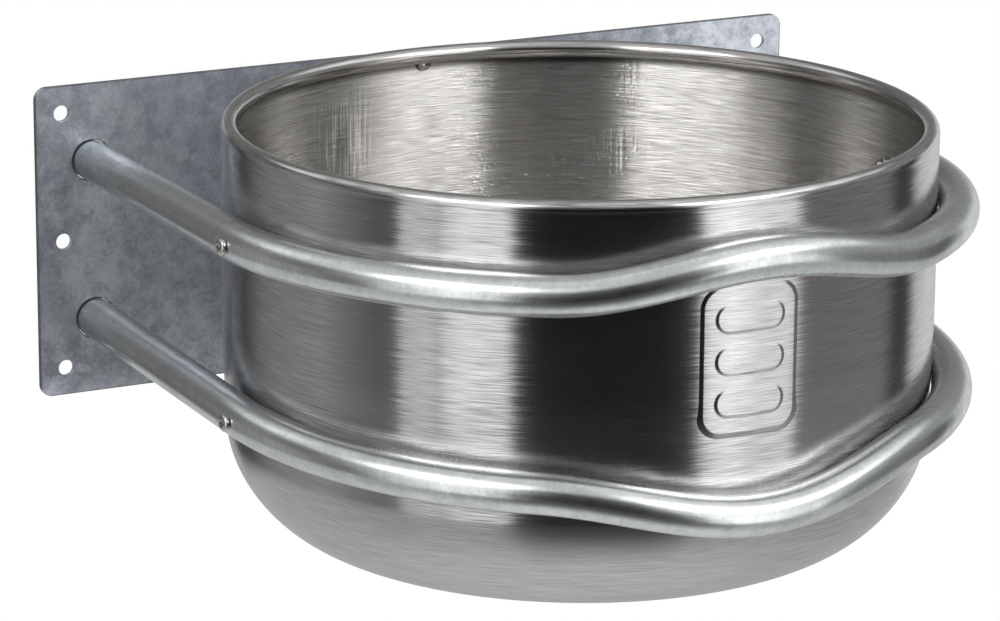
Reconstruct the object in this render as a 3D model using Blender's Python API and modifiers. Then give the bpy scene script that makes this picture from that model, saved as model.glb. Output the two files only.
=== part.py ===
"""Round stainless feed bowl held on a wall plate by two bent tubes. Metres, +Z up, bowl towards -Y."""

import math

import bmesh
import bpy
from mathutils import Vector

# Wall plate. Its back face is the plane Y = 0 and its middle is the origin.
PLATE_WIDTH = 0.535
PLATE_HEIGHT = 0.200
PLATE_THICKNESS = 0.003
PLATE_CORNER_RADIUS = 0.008
FIXING_HOLE_RADIUS = 0.005
FIXING_HOLE_X = 0.250
FIXING_HOLE_Z = 0.0825
GAP = 0.0003

# Bowl. Heights of its profile are measured down from the top of the rim.
BOWL_RADIUS = 0.2175
BOWL_SHEET = 0.0015
BOWL_AXIS_Y = -(PLATE_THICKNESS + GAP + BOWL_RADIUS)
RIM_TOP_Z = 0.103
RIM_ROLL_RADIUS = 0.0055
RIM_ROLL_END_DEG = 240.0
STRAIGHT_WALL_DEPTH = 0.1196
CORNER_TOP_DEPTH = 0.1890
WALL_TAPER = 0.0021
CORNER_WIDTH = 0.0625
CORNER_HEIGHT = 0.0684
CORNER_POWER = 1.772
BOWL_SEGMENTS = 80

# Raised pad on the front of the bowl.
PAD_WIDTH = 0.061
PAD_HEIGHT = 0.087
PAD_CORNER_RADIUS = 0.012
PAD_RISE = 0.0008
PAD_CENTRE_Z = 0.0060

# Tube hoops.
TUBE_RADIUS = 0.0125
TUBE_WALL = 0.002
UPPER_HOOP_RADIUS = BOWL_RADIUS + TUBE_RADIUS + GAP
LOWER_HOOP_RADIUS = UPPER_HOOP_RADIUS - 0.0009
TUBE_END_RECESS = 0.0015
SQUARE_END = 0.008
TUBE_HOLE_RADIUS = 0.0129
# Each hoop: height at the plate, slope of its arms and of its front half, height and half angle of its bump.
UPPER_HOOP = (0.0508, 0.001, 0.004, 0.0166, 32.0)
LOWER_HOOP = (-0.0519, -0.018, -0.046, -0.0175, 34.0)
HOOP_STEPS = 40

# Fasteners, M6. The side bolts point at the bowl's axis, this far round towards the front.
BOLT_TURN_DEG = 3.5
THREAD_RADIUS = 0.003
CLEARANCE_RADIUS = 0.0033
HEAD_RADIUS = 0.00525
HEAD_HEIGHT = 0.0033
SOCKET_ACROSS_FLATS = 0.004
SOCKET_DEPTH = 0.0018
WASHER_RADIUS = 0.006
WASHER_THICKNESS = 0.0016
NUT_ACROSS_FLATS = 0.010
NUT_HEX_HEIGHT = 0.0055
NUT_DOME_RADIUS = 0.0046
NUT_HEIGHT = 0.0105
NUT_BORE_DEPTH = 0.0082
BACK_SCREW_Z = RIM_TOP_Z - 0.0110

# Weld rings between the tube ends and the plate, at the back.
WELD_OUTER_RADIUS = 0.0126
WELD_INNER_RADIUS = 0.0107


def clear_scene():
    for obj in list(bpy.data.objects):
        bpy.data.objects.remove(obj, do_unlink=True)


def new_collection(name):
    found = bpy.data.collections.new(name)
    bpy.context.scene.collection.children.link(found)
    return found


def material(name, colour, roughness):
    made = bpy.data.materials.new(name)
    made.use_nodes = True
    shader = made.node_tree.nodes["Principled BSDF"]
    shader.inputs["Base Color"].default_value = (*colour, 1.0)
    shader.inputs["Metallic"].default_value = 1.0
    shader.inputs["Roughness"].default_value = roughness
    return made


def place(obj, where, skin=None, parent=None):
    where.objects.link(obj)
    if skin:
        obj.data.materials.append(skin)
    if parent:
        obj.parent = parent
    return obj


def hide_cutter(obj):
    obj.hide_render = True
    obj.display_type = "WIRE"
    return obj


def mesh_object(name, verts, faces=(), edges=()):
    mesh = bpy.data.meshes.new(name)
    mesh.from_pydata([tuple(v) for v in verts], list(edges), list(faces))
    mesh.update()
    return bpy.data.objects.new(name, mesh)


def screw_object(name, profile, steps, closed=False):
    """A profile of (radius, height) pairs turned about the object's Z axis."""
    count = len(profile)
    edges = [(i, i + 1) for i in range(count - 1)] + ([(count - 1, 0)] if closed else [])
    obj = mesh_object(name, [(r, 0.0, z) for r, z in profile], edges=edges)
    turn = obj.modifiers.new("turn", "SCREW")
    turn.steps = steps
    turn.render_steps = steps
    turn.use_merge_vertices = True
    turn.merge_threshold = 0.00001
    return obj


def cylinder(name, radius, low, high, sides, spin=0.0):
    """A closed cylinder along the object's Z axis."""
    ring = [
        (radius * math.cos(spin + math.tau * i / sides), radius * math.sin(spin + math.tau * i / sides))
        for i in range(sides)
    ]
    verts = [(x, y, low) for x, y in ring] + [(x, y, high) for x, y in ring]
    faces = [tuple(reversed(range(sides))), tuple(range(sides, 2 * sides))]
    faces += [(i, (i + 1) % sides, sides + (i + 1) % sides, sides + i) for i in range(sides)]
    return mesh_object(name, verts, faces)


def boolean(obj, other, operation):
    change = obj.modifiers.new(operation.lower(), "BOOLEAN")
    change.object = other
    change.operation = operation
    change.solver = "EXACT"
    return obj


def bake(obj):
    """Replaces the object's mesh by its evaluated mesh, and drops its modifiers."""
    bpy.context.view_layer.update()
    graph = bpy.context.evaluated_depsgraph_get()
    mesh = bpy.data.meshes.new_from_object(obj.evaluated_get(graph))
    obj.modifiers.clear()
    obj.data = mesh
    return obj


def weld_points(obj, distance=0.000005):
    grid = bmesh.new()
    grid.from_mesh(obj.data)
    bmesh.ops.remove_doubles(grid, verts=grid.verts, dist=distance)
    bmesh.ops.recalc_face_normals(grid, faces=grid.faces)
    grid.to_mesh(obj.data)
    grid.free()
    return obj


def shade(obj, angle_deg=35.0):
    for face in obj.data.polygons:
        face.use_smooth = True
    obj.data.set_sharp_from_angle(angle=math.radians(angle_deg))
    return obj


def superellipse_corner(steps):
    """Outer corner of the bowl as (radius, depth) pairs, from the wall to the flat bottom."""
    wall = BOWL_RADIUS - WALL_TAPER
    points = []
    for i in range(steps + 1):
        turn = 0.5 * math.pi * i / steps
        points.append(
            (
                wall - CORNER_WIDTH + CORNER_WIDTH * math.cos(turn) ** (2 / CORNER_POWER),
                CORNER_TOP_DEPTH + CORNER_HEIGHT * math.sin(turn) ** (2 / CORNER_POWER),
            )
        )
    return points


def bowl_centre_line():
    """Middle of the sheet as (radius, height) pairs, from the bowl's axis out to the end of the rim roll."""
    half = 0.5 * BOWL_SHEET
    corner = superellipse_corner(12)
    bottom = RIM_TOP_Z - corner[-1][1] + half
    line = [(0.0, bottom), (0.5 * corner[-1][0], bottom)]
    for i in range(len(corner) - 1, -1, -1):
        before = Vector(corner[min(i + 1, len(corner) - 1)])
        after = Vector(corner[max(i - 1, 0)])
        along = (after - before).normalized()
        line.append((corner[i][0] - half * abs(along.y), RIM_TOP_Z - corner[i][1] + half * abs(along.x)))
    for share in (0.66, 0.33):
        depth = STRAIGHT_WALL_DEPTH + share * (CORNER_TOP_DEPTH - STRAIGHT_WALL_DEPTH)
        line.append((BOWL_RADIUS - half - WALL_TAPER * share**1.3, RIM_TOP_Z - depth))
    line.append((BOWL_RADIUS - half, RIM_TOP_Z - STRAIGHT_WALL_DEPTH))
    roll = RIM_ROLL_RADIUS - half
    centre_r = BOWL_RADIUS - RIM_ROLL_RADIUS
    centre_z = RIM_TOP_Z - RIM_ROLL_RADIUS
    steps = 12
    for i in range(steps + 1):
        turn = math.radians(RIM_ROLL_END_DEG) * i / steps
        line.append((centre_r + roll * math.cos(turn), centre_z + roll * math.sin(turn)))
    return line


def bowl_profile():
    line = [Vector(p) for p in bowl_centre_line()]
    half = 0.5 * BOWL_SHEET
    inner, outer = [], []
    for i, point in enumerate(line):
        along = (line[min(i + 1, len(line) - 1)] - line[max(i - 1, 0)]).normalized()
        side = Vector((along.y, -along.x))
        if i == 0:
            side = Vector((0.0, -1.0))
        inner.append(tuple(point - half * side))
        outer.append(tuple(point + half * side))
    return inner + outer[::-1]


def rounded_rectangle(curve, width, height, radius, steps=6):
    spline = curve.splines.new("POLY")
    points = []
    for corner in range(4):
        middle_x = (0.5 * width - radius) * (1, -1, -1, 1)[corner]
        middle_y = (0.5 * height - radius) * (1, 1, -1, -1)[corner]
        for i in range(steps + 1):
            turn = 0.5 * math.pi * (corner + i / steps)
            points.append((middle_x + radius * math.cos(turn), middle_y + radius * math.sin(turn)))
    add_points(spline, points)


def circle(curve, x, y, radius, sides):
    spline = curve.splines.new("POLY")
    add_points(
        spline,
        [
            (x + radius * math.cos(math.tau * i / sides), y + radius * math.sin(math.tau * i / sides))
            for i in range(sides)
        ],
    )


def add_points(spline, points):
    spline.points.add(len(points) - 1)
    for target, (x, y) in zip(spline.points, points):
        target.co = (x, y, 0.0, 1.0)
    spline.use_cyclic_u = True


def plane_curve(name, thickness):
    curve = bpy.data.curves.new(name, "CURVE")
    curve.dimensions = "2D"
    curve.fill_mode = "BOTH"
    curve.extrude = 0.5 * thickness
    return curve


def curve_solid(name, curve, helpers):
    """The curve as a welded mesh object, its plane turned to face along Y."""
    drawn = place(bpy.data.objects.new(name + "_curve", curve), helpers)
    bpy.context.view_layer.update()
    graph = bpy.context.evaluated_depsgraph_get()
    mesh = bpy.data.meshes.new_from_object(drawn.evaluated_get(graph))
    bpy.data.objects.remove(drawn, do_unlink=True)
    mesh.name = name
    mesh.materials.clear()
    return weld_points(bpy.data.objects.new(name, mesh))


def hoop_height(hoop, y, turn_deg):
    plate_z, arm_slope, front_slope, bump, half_angle = hoop
    away = abs(turn_deg + 90.0) / half_angle
    lift = bump * 0.5 * (1.0 + math.cos(math.pi * away)) if away < 1.0 else 0.0
    along_arm = max(0.0, min(abs(y), abs(BOWL_AXIS_Y)) - SQUARE_END)
    past_axis = max(0.0, abs(y) - abs(BOWL_AXIS_Y))
    return plate_z + arm_slope * along_arm + front_slope * past_axis + lift


def hoop_path(radius, hoop):
    """From the right-hand end in the plate, round the front of the bowl, to the left-hand end."""
    arm = [-TUBE_END_RECESS, -SQUARE_END, -0.05, 0.5 * BOWL_AXIS_Y]
    points = [(radius, y, hoop_height(hoop, y, 0.0)) for y in arm]
    for i in range(HOOP_STEPS + 1):
        turn = -180.0 * i / HOOP_STEPS
        x = radius * math.cos(math.radians(turn))
        y = BOWL_AXIS_Y + radius * math.sin(math.radians(turn))
        points.append((x, y, hoop_height(hoop, y, turn)))
    return points + [(-radius, y, hoop_height(hoop, y, 180.0)) for y in reversed(arm)]


def make_hoop(name, path, skin, parts, helpers, root, cutters):
    curve = bpy.data.curves.new(name, "CURVE")
    curve.dimensions = "3D"
    curve.bevel_depth = TUBE_RADIUS
    curve.bevel_resolution = 6
    curve.twist_mode = "Z_UP"
    spline = curve.splines.new("POLY")
    spline.points.add(len(path) - 1)
    for target, (x, y, z) in zip(spline.points, path):
        target.co = (x, y, z, 1.0)
    obj = curve_solid(name, curve, helpers)
    place(obj, parts, skin, root)
    wall = obj.modifiers.new("wall", "SOLIDIFY")
    wall.thickness = TUBE_WALL
    wall.offset = -1.0
    wall.use_even_offset = True
    for cutter in cutters:
        boolean(obj, cutter, "DIFFERENCE")
    return shade(bake(obj))


def make_plate(skin, parts, helpers, root, ends):
    curve = plane_curve("wall_plate", PLATE_THICKNESS)
    rounded_rectangle(curve, PLATE_WIDTH, PLATE_HEIGHT, PLATE_CORNER_RADIUS)
    for x in (-FIXING_HOLE_X, FIXING_HOLE_X):
        for z in (-FIXING_HOLE_Z, 0.0, FIXING_HOLE_Z):
            circle(curve, x, z, FIXING_HOLE_RADIUS, 24)
    for x, z in ends:
        circle(curve, x, z, TUBE_HOLE_RADIUS, 40)
    circle(curve, 0.0, BACK_SCREW_Z, CLEARANCE_RADIUS, 16)
    obj = curve_solid("wall_plate", curve, helpers)
    obj.rotation_euler = (0.5 * math.pi, 0.0, 0.0)
    obj.location = (0.0, -0.5 * PLATE_THICKNESS, 0.0)
    return shade(place(obj, parts, skin, root))


def make_pad(helpers):
    """A curved plate that follows the front of the bowl, 0.8 mm proud of it."""
    curve = plane_curve("pad", 0.03)
    rounded_rectangle(curve, PAD_WIDTH, PAD_HEIGHT, PAD_CORNER_RADIUS, 5)
    block = curve_solid("pad_block", curve, helpers)
    block.rotation_euler = (0.5 * math.pi, 0.0, 0.0)
    block.location = (0.0, BOWL_AXIS_Y - BOWL_RADIUS, PAD_CENTRE_Z)
    place(block, helpers)
    low, high = PAD_CENTRE_Z - PAD_HEIGHT, PAD_CENTRE_Z + PAD_HEIGHT
    outer, inner = BOWL_RADIUS + PAD_RISE, BOWL_RADIUS - 0.6 * BOWL_SHEET
    band = screw_object(
        "pad_band", [(outer, high), (outer, low), (inner, low), (inner, high)], BOWL_SEGMENTS, closed=True
    )
    band.location = (0.0, BOWL_AXIS_Y, 0.0)
    place(band, helpers)
    boolean(band, block, "INTERSECT")
    bake(band)
    bpy.data.objects.remove(block, do_unlink=True)
    return hide_cutter(band)


def make_bowl(skin, parts, helpers, root, cutters):
    obj = screw_object("feed_bowl", bowl_profile(), BOWL_SEGMENTS)
    obj.location = (0.0, BOWL_AXIS_Y, 0.0)
    place(obj, parts, skin, root)
    boolean(obj, make_pad(helpers), "UNION")
    for cutter in cutters:
        boolean(obj, cutter, "DIFFERENCE")
    return shade(bake(obj), 30.0)


def button_head(length):
    """Profile of a button-head screw. The underside of its head is at height 0 and the head points up."""
    profile = [(0.0, HEAD_HEIGHT)]
    for i in range(1, 6):
        turn = 0.5 * math.pi * i / 6
        profile.append((HEAD_RADIUS * math.sin(turn), HEAD_HEIGHT * (0.25 + 0.75 * math.cos(turn))))
    profile += [(HEAD_RADIUS, 0.25 * HEAD_HEIGHT), (HEAD_RADIUS, 0.0), (THREAD_RADIUS, 0.0)]
    profile += [(THREAD_RADIUS, 0.0005 - length), (THREAD_RADIUS - 0.0005, -length), (0.0, -length)]
    return profile


def make_screw(name, length, location, turn, skin, parts, helpers, root):
    obj = screw_object(name, button_head(length), 24)
    place(obj, parts, skin, root)
    socket = cylinder(
        name + "_socket",
        SOCKET_ACROSS_FLATS / math.sqrt(3.0),
        HEAD_HEIGHT - SOCKET_DEPTH,
        HEAD_HEIGHT + 0.002,
        6,
        0.2,
    )
    hide_cutter(place(socket, helpers))
    boolean(obj, socket, "DIFFERENCE")
    bake(obj)
    bpy.data.objects.remove(socket, do_unlink=True)
    obj.location = location
    obj.rotation_euler = turn
    return shade(obj)


def make_washer(name, location, turn, skin, parts, root):
    profile = [
        (WASHER_RADIUS, WASHER_THICKNESS),
        (WASHER_RADIUS, 0.0),
        (CLEARANCE_RADIUS, 0.0),
        (CLEARANCE_RADIUS, WASHER_THICKNESS),
    ]
    obj = screw_object(name, profile, 28, closed=True)
    obj.location = location
    obj.rotation_euler = turn
    return shade(bake(place(obj, parts, skin, root)))


def make_cap_nut(name, location, turn, skin, parts, helpers, root):
    """Hexagonal base from height 0, domed end pointing up, blind bore from below."""
    hexagon = cylinder(name, NUT_ACROSS_FLATS / math.sqrt(3.0), 0.0, NUT_HEX_HEIGHT, 6, 0.1)
    place(hexagon, parts, skin, root)
    profile = [(0.0, NUT_HEIGHT)]
    for i in range(1, 6):
        turn_angle = 0.5 * math.pi * i / 5
        profile.append(
            (
                NUT_DOME_RADIUS * math.sin(turn_angle),
                NUT_HEX_HEIGHT + 0.0004 + (NUT_HEIGHT - NUT_HEX_HEIGHT - 0.0004) * math.cos(turn_angle),
            )
        )
    profile += [(NUT_DOME_RADIUS, 0.002), (0.0, 0.002)]
    dome = hide_cutter(place(screw_object(name + "_dome", profile, 24), helpers))
    bore = cylinder(name + "_bore", CLEARANCE_RADIUS, -0.002, NUT_BORE_DEPTH, 16, 0.05)
    hide_cutter(place(bore, helpers))
    boolean(hexagon, dome, "UNION")
    boolean(hexagon, bore, "DIFFERENCE")
    bake(hexagon)
    for helper in (dome, bore):
        bpy.data.objects.remove(helper, do_unlink=True)
    hexagon.location = location
    hexagon.rotation_euler = turn
    return shade(hexagon)


def make_weld(name, x, z, skin, parts, root):
    """A low ring on the tube's end, inside the hole of the plate and below its back face."""
    high = TUBE_END_RECESS - GAP
    profile = [
        (WELD_OUTER_RADIUS, high - 0.0002),
        (WELD_OUTER_RADIUS, 0.0),
        (WELD_INNER_RADIUS, 0.0),
        (WELD_INNER_RADIUS + 0.0003, 0.0006),
        (WELD_INNER_RADIUS + 0.0010, high - 0.0003),
        (WELD_INNER_RADIUS + 0.0014, high - 0.0002),
    ]
    obj = screw_object(name, profile, 32, closed=True)
    obj.location = (x, -TUBE_END_RECESS + GAP, z)
    obj.rotation_euler = (-0.5 * math.pi, 0.0, 0.0)
    return shade(bake(place(obj, parts, skin, root)))


def beside_bowl(distance, height, sign):
    """A point this far from the bowl's axis on the line of the side bolts. The sign is +1 for the right."""
    turn = math.radians(BOLT_TURN_DEG)
    return (sign * distance * math.cos(turn), BOWL_AXIS_Y - distance * math.sin(turn), height)


def along_bolt(sign, way):
    """Rotation that points an object's Z axis outwards (way +1) or inwards (way -1) along a side bolt."""
    return (0.0, sign * way * 0.5 * math.pi, -sign * math.radians(BOLT_TURN_DEG))


def main():
    clear_scene()
    parts = new_collection("round_feed_bowl")
    helpers = new_collection("cutters")
    root = bpy.data.objects.new("round_feed_bowl_root", None)
    parts.objects.link(root)
    zinc = material("galvanised_steel", (0.55, 0.57, 0.58), 0.45)
    stainless = material("brushed_stainless", (0.60, 0.58, 0.55), 0.32)
    bright = material("stainless_fastener", (0.66, 0.65, 0.62), 0.25)
    weld = material("weld_zinc", (0.48, 0.49, 0.50), 0.6)

    hoops = {"upper": (UPPER_HOOP_RADIUS, UPPER_HOOP), "lower": (LOWER_HOOP_RADIUS, LOWER_HOOP)}
    sides = {"left": -1.0, "right": 1.0}
    bolt_z = {}
    bolt_cutters = {"upper": [], "lower": []}
    ends = []
    for level, (radius, hoop) in hoops.items():
        bolt_z[level] = hoop_height(hoop, beside_bowl(radius, 0.0, 1.0)[1], 0.0)
        for side, sign in sides.items():
            ends.append((sign * radius, hoop_height(hoop, 0.0, 0.0)))
            cutter = cylinder("_".join(("bolt_hole", level, side)), CLEARANCE_RADIUS, 0.19, 0.27, 16, 0.07)
            cutter.rotation_euler = along_bolt(sign, 1.0)
            cutter.location = (0.0, BOWL_AXIS_Y, bolt_z[level])
            bolt_cutters[level].append(hide_cutter(place(cutter, helpers)))
    back_hole = cylinder("back_screw_hole", CLEARANCE_RADIUS, -0.05, 0.05, 16, 0.07)
    back_hole.rotation_euler = (0.5 * math.pi, 0.0, 0.0)
    back_hole.location = (0.0, 0.0, BACK_SCREW_Z)
    hide_cutter(place(back_hole, helpers))

    make_plate(zinc, parts, helpers, root, ends)
    for level, (radius, hoop) in hoops.items():
        path = hoop_path(radius, hoop)
        make_hoop(level + "_hoop", path, zinc, parts, helpers, root, bolt_cutters[level])
    make_bowl(
        stainless, parts, helpers, root, [*bolt_cutters["upper"], *bolt_cutters["lower"], back_hole]
    )

    quarter = 0.5 * math.pi
    for level, (radius, _) in hoops.items():
        head_distance = radius + TUBE_RADIUS + GAP
        wall_drop = 0.0 if level == "upper" else 0.0012
        washer_distance = BOWL_RADIUS - BOWL_SHEET - wall_drop - 0.0004
        nut_distance = washer_distance - WASHER_THICKNESS - GAP
        length = head_distance - nut_distance + NUT_BORE_DEPTH - 0.0012
        for side, sign in sides.items():
            z = bolt_z[level]
            label = level + "_" + side
            make_screw(
                label + "_bolt", length, beside_bowl(head_distance, z, sign), along_bolt(sign, 1.0),
                bright, parts, helpers, root,
            )
            make_washer(
                label + "_washer", beside_bowl(washer_distance, z, sign), along_bolt(sign, -1.0),
                bright, parts, root,
            )
            make_cap_nut(
                label + "_cap_nut", beside_bowl(nut_distance, z, sign), along_bolt(sign, -1.0),
                bright, parts, helpers, root,
            )
    for (x, z), label in zip(ends, ("upper_left", "upper_right", "lower_left", "lower_right")):
        make_weld(label + "_weld", x, z, weld, parts, root)
    head_y = BOWL_AXIS_Y + BOWL_RADIUS - BOWL_SHEET - 0.0004
    make_screw(
        "back_screw", abs(head_y) - 0.0006, (0.0, head_y, BACK_SCREW_Z), (quarter, 0.0, 0.0),
        bright, parts, helpers, root,
    )


main()
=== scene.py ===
"""Looks of the wall-mounted stainless feed bowl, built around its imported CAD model.

Metres, +Z up, the bowl towards -Y. The origin is the middle of the back face of the wall plate.
"""

import math

import bpy
import numpy as np
from mathutils import Matrix, Vector


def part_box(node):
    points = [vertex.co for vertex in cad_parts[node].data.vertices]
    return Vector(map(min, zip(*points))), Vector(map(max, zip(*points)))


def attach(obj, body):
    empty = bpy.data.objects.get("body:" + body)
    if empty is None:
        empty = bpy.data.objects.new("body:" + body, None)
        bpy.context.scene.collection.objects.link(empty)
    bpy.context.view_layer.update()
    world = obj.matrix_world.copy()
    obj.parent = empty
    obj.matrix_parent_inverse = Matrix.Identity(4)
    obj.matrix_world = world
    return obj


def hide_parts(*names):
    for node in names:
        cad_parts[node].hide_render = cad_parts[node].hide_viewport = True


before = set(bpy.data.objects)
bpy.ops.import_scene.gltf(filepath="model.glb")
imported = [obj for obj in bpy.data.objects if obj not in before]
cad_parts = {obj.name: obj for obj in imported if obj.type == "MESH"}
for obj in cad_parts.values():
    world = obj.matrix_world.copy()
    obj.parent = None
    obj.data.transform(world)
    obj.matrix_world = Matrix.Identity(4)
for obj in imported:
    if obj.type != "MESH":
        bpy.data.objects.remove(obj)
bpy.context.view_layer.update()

# Shape constants shared with the CAD part. Depths are below the top of the rim.
TUBE_RADIUS = 0.0125
TUBE_WALL = 0.002
SHEET = 0.0015
ROLL_RADIUS = 0.0055
ROLL_END = 240.0  # degrees round the roll to its lip
STRAIGHT_DEPTH = 0.1196
CORNER_DEPTH = 0.1890
WALL_TAPER = 0.0021
WALL_TAPER_POWER = 1.3
CORNER_WIDTH = 0.0625
CORNER_POWER = 1.772
SQUARE_END = 0.008
TUBE_RECESS = 0.0015
# Slope of the arms, slope of the front half, height and half angle (degrees) of the bump.
HOOP_SHAPE = {"upper": (0.001, 0.004, 0.0166, 32.0), "lower": (-0.018, -0.046, -0.0175, 34.0)}
BOLT_TURN = math.radians(3.5)  # the side bolts stand this far round towards the front
GAP = 0.0003  # between fasteners and what they clamp
FIXING_X = 0.250
FIXING_Z = (-0.0825, 0.0, 0.0825)
FIXING_RADIUS = 0.005
TUBE_HOLE = 0.0129
SCREW_HOLE = 0.0033
PLATE_CORNER = 0.008

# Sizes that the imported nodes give.
bowl_low, bowl_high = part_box("feed_bowl")
plate_low, plate_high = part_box("wall_plate")
BOWL_RADIUS = 0.5 * (bowl_high.x - bowl_low.x)
BOWL_AXIS_Y = bowl_high.y - BOWL_RADIUS
RIM_TOP = bowl_high.z
BOWL_BOTTOM = bowl_low.z
LEVELS = ("upper", "lower")
SIDES = {"left": -1.0, "right": 1.0}
HOOP_RADIUS = {
    level: 0.5 * (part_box(level + "_hoop")[1].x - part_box(level + "_hoop")[0].x) - TUBE_RADIUS
    for level in LEVELS
}

# M6 fasteners.
SHANK_RADIUS = 0.003
HEAD_RADIUS = 0.00525
HEAD_HEIGHT = 0.0033
WASHER_THICKNESS = 0.0016
NUT_FLATS = 0.010
WASHER_CLEARANCE = 0.0004
SCREW_PAST_NUT_FACE = 0.006
# The wall has begun to taper inwards at the lower bolts.
WALL_DROP = {"upper": 0.0, "lower": 0.0012}


def centre(node):
    """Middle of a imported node's box."""
    low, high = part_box(node)
    return 0.5 * (low + high)


# ---------------------------------------------------------------- mesh building


def skin(name, rings, cyclic=False, start=None, end=None):
    """A mesh drawn over rings of equally many points. A start or end point closes that side with a fan."""
    count = len(rings[0])
    verts = [tuple(p) for ring in rings for p in ring]
    faces = []
    pairs = [(k, k + 1) for k in range(len(rings) - 1)]
    if cyclic:
        pairs.append((len(rings) - 1, 0))
    for a, b in pairs:
        for i in range(count):
            j = (i + 1) % count
            faces.append((a * count + i, a * count + j, b * count + j, b * count + i))
    if start is not None:
        verts.append(tuple(start))
        faces += [((i + 1) % count, i, len(verts) - 1) for i in range(count)]
    if end is not None:
        verts.append(tuple(end))
        last = (len(rings) - 1) * count
        faces += [(last + i, last + (i + 1) % count, len(verts) - 1) for i in range(count)]
    mesh = bpy.data.meshes.new(name)
    mesh.from_pydata(verts, [], faces)
    mesh.update()
    return bpy.data.objects.new(name, mesh)


def finish_piece(obj, skin_material, nodes, matrix=None, sharp=40.0):
    """Puts the piece in the scene with its material, on its body, in place of the nodes it stands for."""
    bpy.context.scene.collection.objects.link(obj)
    if matrix is not None:
        obj.data.transform(matrix)
    obj.data.materials.append(skin_material)
    for face in obj.data.polygons:
        face.use_smooth = True
    obj.data.set_sharp_from_angle(angle=math.radians(sharp))
    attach(obj, "root")
    if nodes:
        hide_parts(*nodes)
    return obj


def turned(profile, count, centre_xy=(0.0, 0.0)):
    """Rings of a (radius, height) profile about a vertical line."""
    angles = [math.tau * i / count for i in range(count)]
    x, y = centre_xy
    return [[(x + r * math.cos(t), y + r * math.sin(t), z) for t in angles] for r, z in profile]


def arc(cx, cz, radius, start_deg, end_deg, steps):
    """Points of an arc about (cx, cz), both ends included."""
    turns = [math.radians(start_deg + (end_deg - start_deg) * i / steps) for i in range(steps + 1)]
    return [(cx + radius * math.cos(turn), cz + radius * math.sin(turn)) for turn in turns]


# ---------------------------------------------------------------- bowl


def outer_wall():
    """Outer face of the bowl from the bottom up to the rim roll, as (radius, height) pairs."""
    flat_steps, corner_steps, taper_steps, straight_steps = 14, 56, 16, 24
    flat = BOWL_RADIUS - WALL_TAPER - CORNER_WIDTH
    corner_height = RIM_TOP - BOWL_BOTTOM - CORNER_DEPTH
    points = [(flat * i / flat_steps, BOWL_BOTTOM) for i in range(1, flat_steps)]
    for i in range(corner_steps, -1, -1):
        turn = 0.5 * math.pi * i / corner_steps
        radius = flat + CORNER_WIDTH * math.cos(turn) ** (2 / CORNER_POWER)
        points.append((radius, RIM_TOP - CORNER_DEPTH - corner_height * math.sin(turn) ** (2 / CORNER_POWER)))
    for i in range(taper_steps - 1, -1, -1):
        share = i / taper_steps
        depth = STRAIGHT_DEPTH + share * (CORNER_DEPTH - STRAIGHT_DEPTH)
        points.append((BOWL_RADIUS - WALL_TAPER * share**WALL_TAPER_POWER, RIM_TOP - depth))
    straight = STRAIGHT_DEPTH - 2.05 * ROLL_RADIUS
    for i in range(1, straight_steps + 1):
        points.append((BOWL_RADIUS, RIM_TOP - STRAIGHT_DEPTH + straight * i / straight_steps))
    return points


def offset(points, distance):
    """The line moved to its left by this distance."""
    line = np.array(points)
    along = np.gradient(line, axis=0)
    along /= np.linalg.norm(along, axis=1)[:, None]
    return [tuple(p) for p in line + distance * np.c_[-along[:, 1], along[:, 0]]]


def make_bowl(material, inside_material):
    """The spun sheet with its rim roll. The roll stands a hair proud of the wall, over a faint crease."""
    count, proud, crease = 360, 0.00008, 0.00004
    innermost = 0.002  # closer in than this, the closing fan takes over
    roll_r, roll_z = BOWL_RADIUS - ROLL_RADIUS + proud, RIM_TOP - ROLL_RADIUS
    groove = [
        (BOWL_RADIUS - 0.00001, roll_z - 0.0046),
        (BOWL_RADIUS - crease, roll_z - 0.0034),
        (BOWL_RADIUS - crease, roll_z - 0.0024),
        (BOWL_RADIUS - 0.00001, roll_z - 0.0015),
    ]
    wall = outer_wall()
    outside = wall + groove + arc(roll_r, roll_z, ROLL_RADIUS, -8.0, ROLL_END, 60)
    lip = ROLL_RADIUS - 0.5 * SHEET
    lip_turn = math.radians(ROLL_END)
    lip_r, lip_z = roll_r + lip * math.cos(lip_turn), roll_z + lip * math.sin(lip_turn)
    cap = arc(lip_r, lip_z, 0.5 * SHEET, ROLL_END, ROLL_END + 180.0, 8)[1:-1]
    back = arc(roll_r, roll_z, ROLL_RADIUS - SHEET, ROLL_END, 0.0, 40)
    inside = [p for p in offset(wall, SHEET)[::-1] if p[0] > innermost]
    rings = turned(outside + cap + back + inside, count, (0.0, BOWL_AXIS_Y))
    start, end = (0.0, BOWL_AXIS_Y, BOWL_BOTTOM), (0.0, BOWL_AXIS_Y, BOWL_BOTTOM + SHEET)
    obj = skin("bowl_shell", rings, start=start, end=end)
    finish_piece(obj, material, ["feed_bowl"], sharp=50.0)
    obj.data.materials.append(inside_material)
    first_inside = (len(outside) + len(cap) + len(back) - 1) * count
    for face in obj.data.polygons:
        if min(face.vertices) >= first_inside:
            face.material_index = 1
    return obj


def rounded_box_distance(u, v, half_w, half_h, radius):
    """Signed distance in the plane to a rounded rectangle, negative inside."""
    du, dv = np.abs(u) - (half_w - radius), np.abs(v) - (half_h - radius)
    outside = np.hypot(np.maximum(du, 0.0), np.maximum(dv, 0.0))
    return outside + np.minimum(np.maximum(du, dv), 0.0) - radius


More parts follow.
